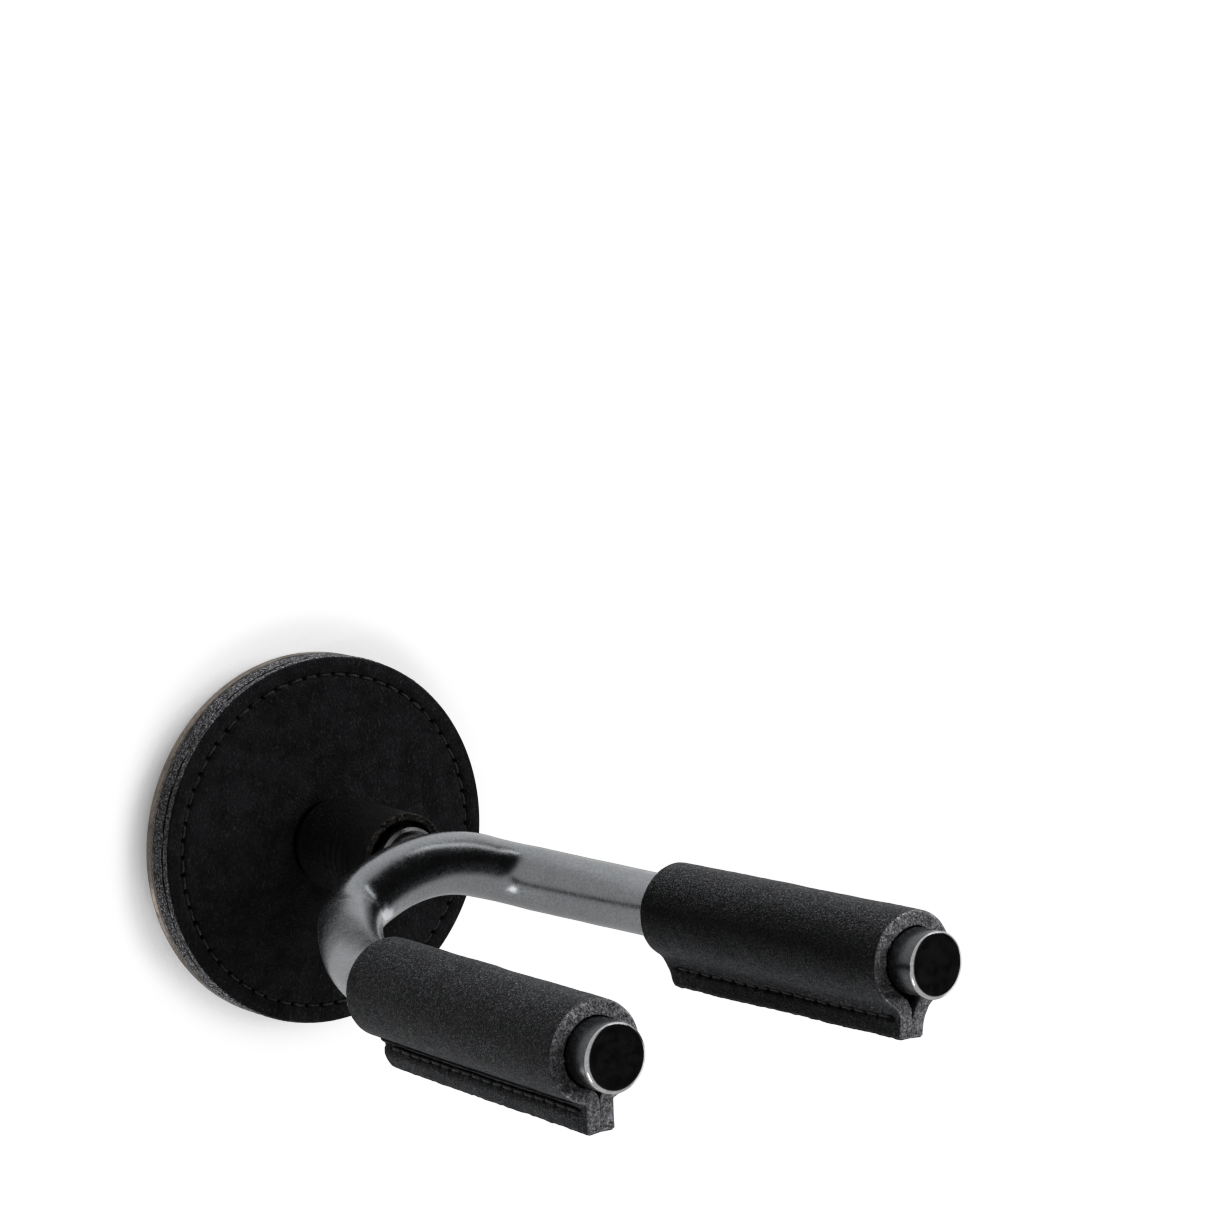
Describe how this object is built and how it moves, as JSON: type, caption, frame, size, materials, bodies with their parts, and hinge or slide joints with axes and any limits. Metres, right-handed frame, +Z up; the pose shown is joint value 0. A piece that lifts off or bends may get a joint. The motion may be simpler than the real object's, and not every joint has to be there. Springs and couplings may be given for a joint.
{
  "type": "wall guitar hanger",
  "caption": "Wall hanger for a guitar: leather-covered round wall disc with a short stem, and a swivelling U-shaped forged yoke whose arms carry sewn leather grips.",
  "frame": {"origin": "on the wall plane, at the middle of the wall plate's back face, on the stem's axis", "axes": "+Y points from the hanger into the wall along the stem's axis, -Y out into the room, +X to the right seen from the room, +Z up"},
  "size_m": [0.0902, 0.1565, 0.076],
  "materials": {
    "plate_steel": "copper-brown plated steel, reflective edge",
    "tube_steel": "blackened steel",
    "yoke_steel": "satin smoke-grey forged steel",
    "shaft_steel": "turned steel with a dark oil finish",
    "fixing_steel": "zinc-plated steel",
    "bush_nylon": "black nylon",
    "cover_leather": "matte napped black leather, raw edges",
    "grip_leather": "fine-grained black leather with a low sheen",
    "thread": "waxed black thread"
  },
  "bodies": {
    "base": {"wall_plate": "plate_steel", "stem_tube": "tube_steel", "front_bush": "bush_nylon", "rear_bush": "bush_nylon", "stem_wrap": "cover_leather", "cover_rear_ply": "cover_leather", "cover_front_ply": "cover_leather", "cover_thread": "thread"},
    "yoke": {"yoke_bar": "yoke_steel", "pivot_shaft": "shaft_steel", "retaining_washer": "fixing_steel", "retaining_screw": "fixing_steel", "left_grip": "grip_leather", "left_grip_thread": "thread", "right_grip": "grip_leather", "right_grip_thread": "thread"}
  },
  "joints": [
    {"name": "yoke_swivel", "type": "hinge", "parent": "base", "child": "yoke", "pos_m": [0, 0, 0], "axis": [0, 1, 0], "continuous": true}
  ]
}
